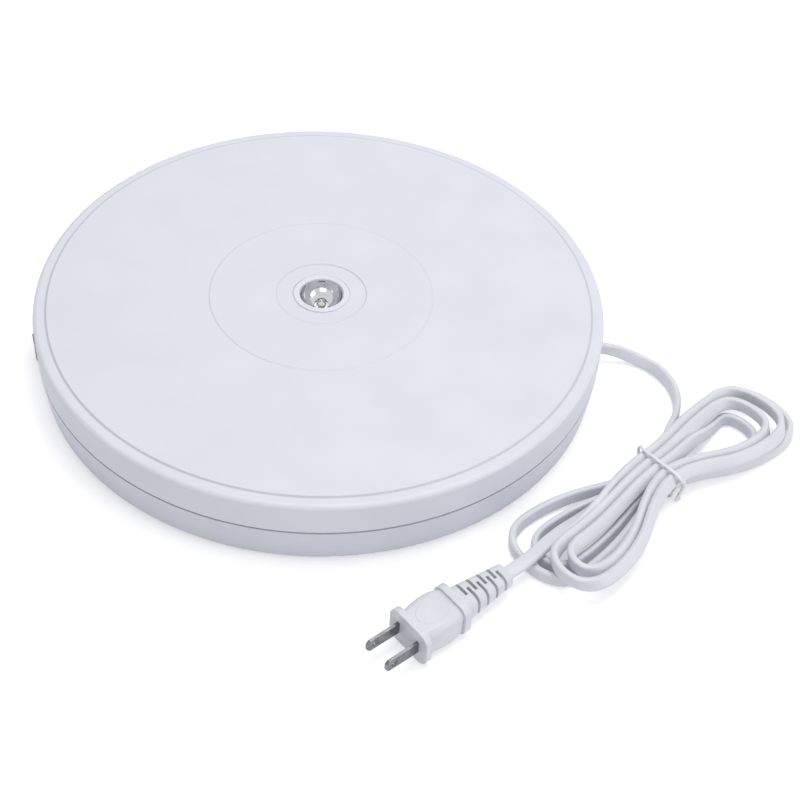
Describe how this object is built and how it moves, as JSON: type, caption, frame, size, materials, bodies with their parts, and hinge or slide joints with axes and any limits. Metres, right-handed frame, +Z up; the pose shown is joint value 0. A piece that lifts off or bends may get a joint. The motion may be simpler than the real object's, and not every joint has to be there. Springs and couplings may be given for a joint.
{
  "type": "rotating display turntable",
  "caption": "Low round mains-powered display turntable with a lit centre, a rocker switch in its side and a flat cord tied in a hank.",
  "frame": {"origin": "on the supporting surface, below the centre of the platter's axis", "axes": "+Z up along the platter's axis, +X towards the side where the cord leaves, -X towards the side with the rocker switch"},
  "size_m": [0.3753, 0.3431, 0.0375],
  "materials": {
    "shell_white": "moulded ABS, satin",
    "platter_white": "moulded ABS, satin",
    "lamp_trim_white": "moulded ABS, polished",
    "rubber_black": "moulded rubber",
    "post_grey": "glass-filled nylon",
    "gear_acetal": "moulded acetal",
    "roller_rubber": "moulded rubber",
    "bearing_acetal": "moulded acetal",
    "steel": "zinc plated",
    "motor_steel": "deep drawn, zinc plated",
    "reflector_chrome": "vacuum metallised",
    "lamp_lens": "clear epoxy",
    "tinned_wire": "tin plated",
    "board_green": "solder mask on glass epoxy",
    "capacitor_red": "epoxy box",
    "capacitor_black": "moulded",
    "resistor_blue": "lacquered",
    "switch_black": "moulded nylon, polished",
    "wire_white": "extruded PVC",
    "cord_white": "extruded PVC, satin",
    "clamp_black": "moulded nylon",
    "tie_white": "coated wire",
    "plug_white": "overmoulded PVC, satin",
    "blade_nickel": "nickel plated brass"
  },
  "bodies": {
    "base": {"base_shell": "shell_white", "light_bezel": "lamp_trim_white", "rubber_foot_1": "rubber_black", "rubber_foot_2": "rubber_black", "rubber_foot_3": "rubber_black", "rubber_foot_4": "rubber_black", "centre_post": "post_grey", "motor_cover": "post_grey", "thrust_washer": "bearing_acetal", "snap_ring": "steel", "roller_axle_1": "steel", "roller_axle_2": "steel", "roller_axle_3": "steel", "roller_axle_4": "steel", "post_screws": "steel", "motor_screws": "steel", "board_screws": "steel", "clamp_screws": "steel", "motor_can": "motor_steel", "reflector_cup": "reflector_chrome", "led_lamp": "lamp_lens", "led_leads": "tinned_wire", "switch_terminals": "tinned_wire", "led_board": "board_green", "power_board": "board_green", "film_capacitor": "capacitor_red", "smoothing_capacitor": "capacitor_black", "bridge_rectifier": "capacitor_black", "bleed_resistor": "resistor_blue", "switch_housing": "switch_black", "led_wires": "wire_white", "motor_wires": "wire_white", "switch_wires": "wire_white", "inner_cord": "cord_white", "cord_lead": "cord_white", "cord_hank": "cord_white", "cord_tail": "cord_white", "cord_grommet": "cord_white", "cord_clamp": "clamp_black", "twist_tie": "tie_white", "plug_body": "plug_white", "plug_blades": "blade_nickel"},
    "platter": {"platter": "platter_white", "hub_bush": "bearing_acetal", "ring_gear": "gear_acetal", "gear_screws": "steel"},
    "pinion": {"drive_pinion": "gear_acetal", "motor_shaft": "steel", "pinion_clip": "steel"},
    "rocker": {"switch_rocker": "switch_black"},
    "roller_1": {"support_roller_1": "roller_rubber"},
    "roller_2": {"support_roller_2": "roller_rubber"},
    "roller_3": {"support_roller_3": "roller_rubber"},
    "roller_4": {"support_roller_4": "roller_rubber"}
  },
  "joints": [
    {"name": "platter_spin", "type": "hinge", "parent": "base", "child": "platter", "pos_m": [0, 0, 0.035], "axis": [0, 0, 1], "continuous": true},
    {"name": "pinion_spin", "type": "hinge", "parent": "base", "child": "pinion", "pos_m": [0, 0.048, 0.027], "axis": [0, 0, 1], "continuous": true},
    {"name": "roller_1_spin", "type": "hinge", "parent": "base", "child": "roller_1", "pos_m": [0.0792, 0.0792, 0.02475], "axis": [0.7071, 0.7071, 0], "continuous": true},
    {"name": "roller_2_spin", "type": "hinge", "parent": "base", "child": "roller_2", "pos_m": [-0.0792, 0.0792, 0.02475], "axis": [-0.7071, 0.7071, 0], "continuous": true},
    {"name": "roller_3_spin", "type": "hinge", "parent": "base", "child": "roller_3", "pos_m": [-0.0792, -0.0792, 0.02475], "axis": [-0.7071, -0.7071, 0], "continuous": true},
    {"name": "roller_4_spin", "type": "hinge", "parent": "base", "child": "roller_4", "pos_m": [0.0792, -0.0792, 0.02475], "axis": [0.7071, -0.7071, 0], "continuous": true},
    {"name": "rocker_tilt", "type": "hinge", "parent": "base", "child": "rocker", "pos_m": [-0.13887, -0.01093, 0.0106], "axis": [0, 0, 1], "range_deg": [-28, 0]}
  ],
  "couplings": [
    {"joint": "pinion_spin", "follows": "platter_spin", "ratio": 5},
    {"joint": "roller_1_spin", "follows": "platter_spin", "ratio": -14},
    {"joint": "roller_2_spin", "follows": "platter_spin", "ratio": -14},
    {"joint": "roller_3_spin", "follows": "platter_spin", "ratio": -14},
    {"joint": "roller_4_spin", "follows": "platter_spin", "ratio": -14}
  ]
}
